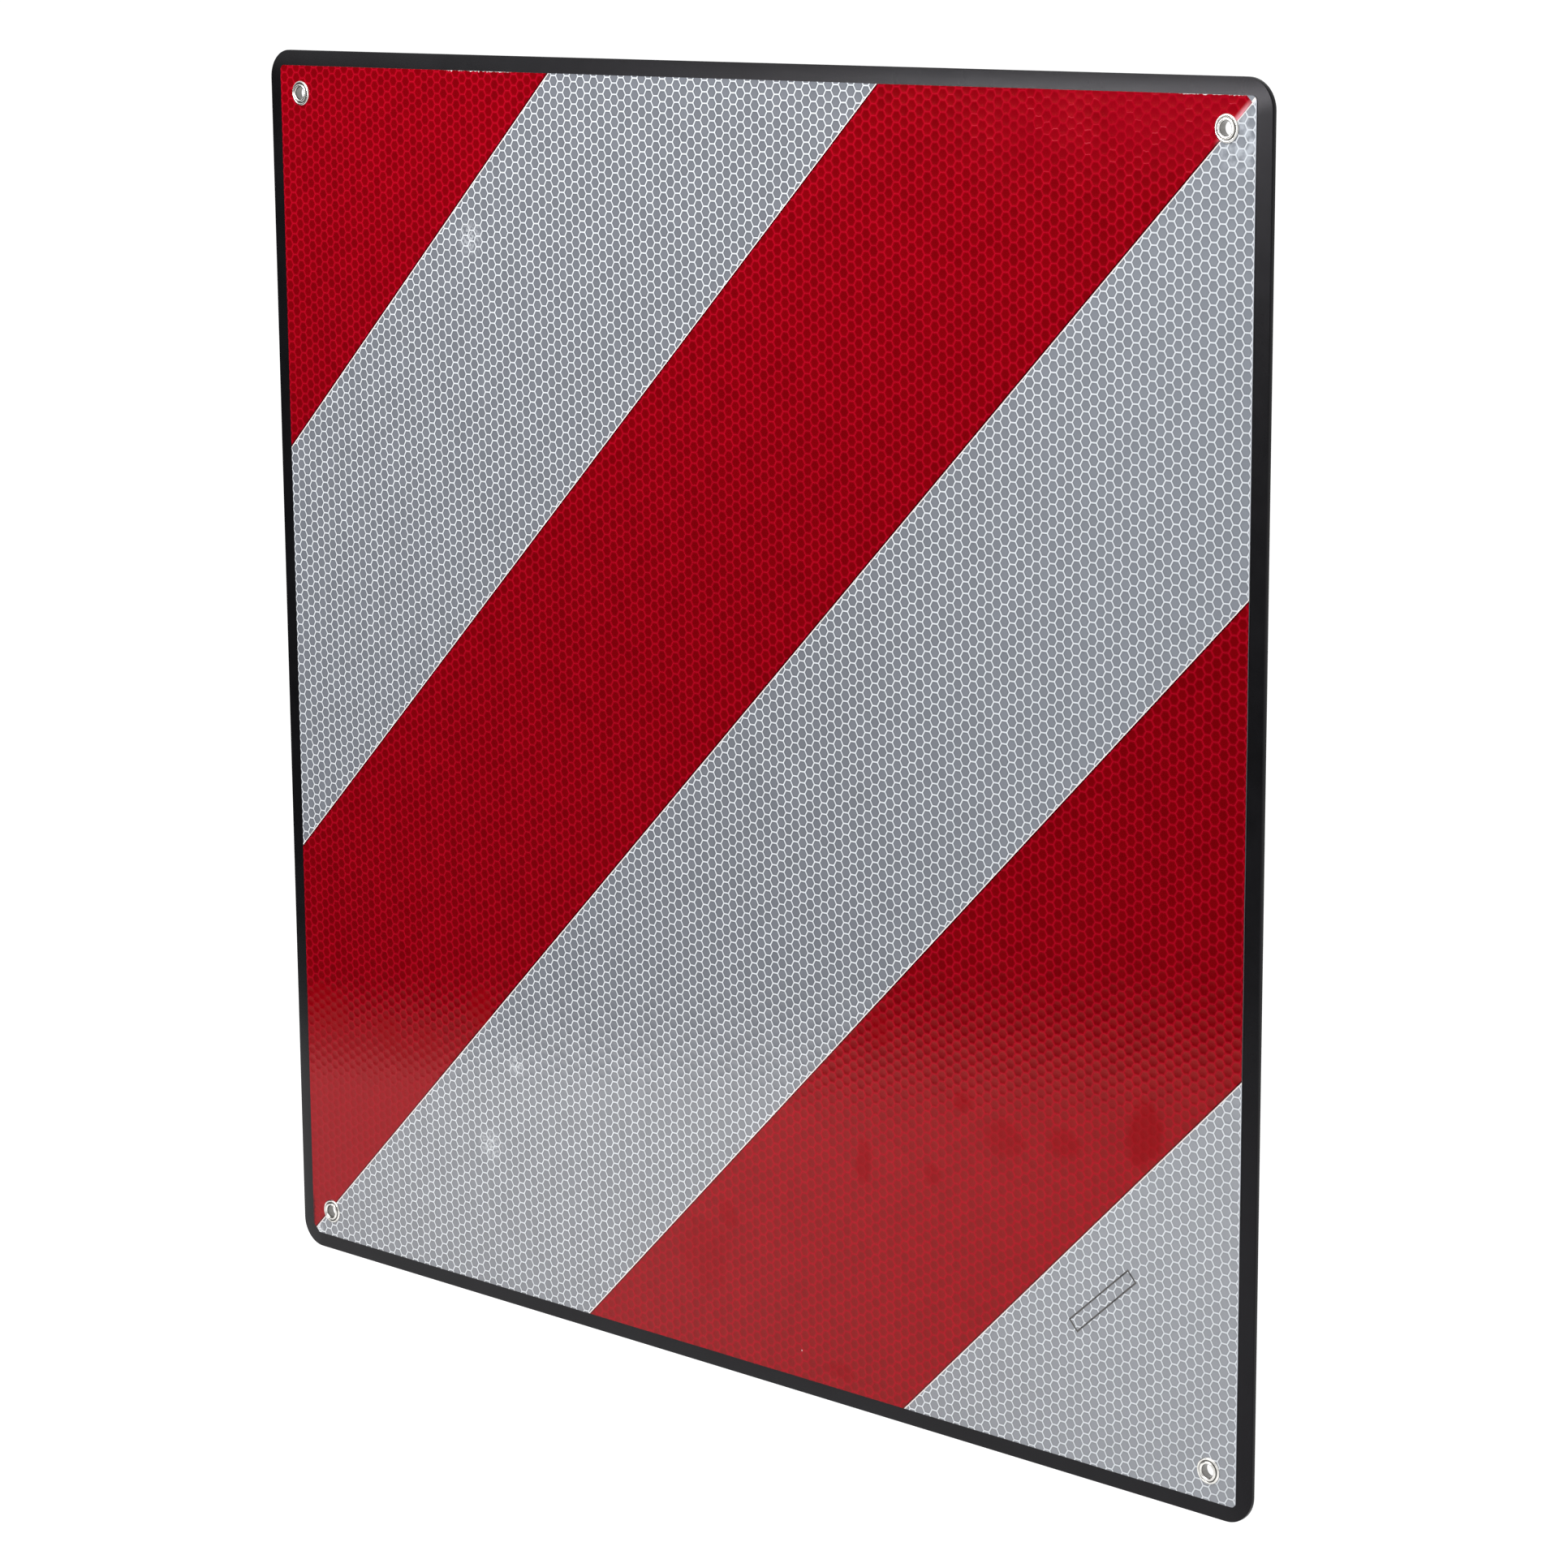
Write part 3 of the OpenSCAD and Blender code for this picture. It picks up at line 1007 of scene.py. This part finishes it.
def stageSheet(name, bm, material):
    mesh = bpy.data.meshes.new(name)
    bm.to_mesh(mesh)
    bm.free()
    mesh.materials.append(material)
    sheet = bpy.data.objects.new(name, mesh)
    bpy.context.scene.collection.objects.link(sheet)
    return sheet


def makeFloor():
    bm = bmesh.new()
    bmesh.ops.create_grid(bm, x_segments=1, y_segments=1, size=studio["floorSize"] / 2)
    bmesh.ops.translate(bm, verts=bm.verts, vec=(0, 0, studio["floorHeight"]))
    paper = glowFinish("paleFloor", studio["floorTone"], studio["floorGlow"])
    floor = stageSheet("floor", bm, paper)
    floor.visible_diffuse = False      # the air glow lights the plate from below as well


# A sheet that only reflections see, drawn from the line where the card meets the floor
def makeMirroredSheet(name, drawn, material):
    start, end = Vector(studio["cardStart"]), Vector(studio["cardEnd"])
    along = (end - start).normalized() * studio["cardOverrun"]
    start, end = start - along, end + along
    foot = studio["floorHeight"] + 0.2 * mm
    bm = bmesh.new()
    first = bm.verts.new((start.x, start.y, foot))
    second = bm.verts.new((end.x, end.y, foot))
    edge = bm.edges.new((first, second))
    moved = bmesh.ops.extrude_edge_only(bm, edges=[edge])["geom"]
    bmesh.ops.translate(bm, verts=onlyVerts(moved), vec=drawn)
    sheet = stageSheet(name, bm, material)
    sheet.visible_camera = False
    sheet.visible_diffuse = False
    sheet.visible_shadow = False


# The lower third of the plate mirrors the bright floor in front of it, and the rest mirrors
# a dark card that stands on the floor, with a half lit strip before it
def makeCard():
    dark = glowFinish("darkCardPaper", studio["cardTone"], 0.0)
    makeMirroredSheet("darkCard", (0, 0, studio["cardTop"] - studio["floorHeight"]), dark)
    # painted shade: the strip glows at half strength in place of the half shaded floor at the card's
    # foot, and only reflections see it
    grey = glowFinish("halfShadeStripGlow", studio["cardTone"], studio["stripGlow"])
    makeMirroredSheet("halfShadeStrip", (0, studio["stripDepth"], 0), grey)


def makeSoftLight(name, make):
    data = bpy.data.lights.new(name, "AREA")
    data.shape = "RECTANGLE"
    data.size = make["wide"]
    data.size_y = make["high"]
    data.energy = make["power"]
    light = bpy.data.objects.new(name, data)
    bpy.context.scene.collection.objects.link(light)
    aim = (Vector(make["target"]) - Vector(make["place"])).to_track_quat("-Z", "Y")
    light.matrix_world = Matrix.Translation(make["place"]) @ aim.to_matrix().to_4x4()
    if name == hiddenLight:
        light.visible_glossy = False
        light.visible_camera = False


def makeWorld():
    world = bpy.data.worlds.new("studioAir")
    world.use_nodes = True
    tree = world.node_tree
    background = tree.nodes["Background"]
    background.inputs["Color"].default_value = (1, 1, 1, 1)
    rays = tree.nodes.new("ShaderNodeLightPath")      # the backdrop is lit more than the plate
    glow = spread(tree, rays.outputs["Is Diffuse Ray"], 1.0, studio["airGlow"])
    tree.links.new(glow, background.inputs["Strength"])
    bpy.context.scene.world = world


makeFloor()
makeCard()
makeWorld()
for lightName, lightMake in softLights.items():
    makeSoftLight(lightName, lightMake)
bpy.context.scene.view_settings.view_transform = "Standard"
print("studio made")
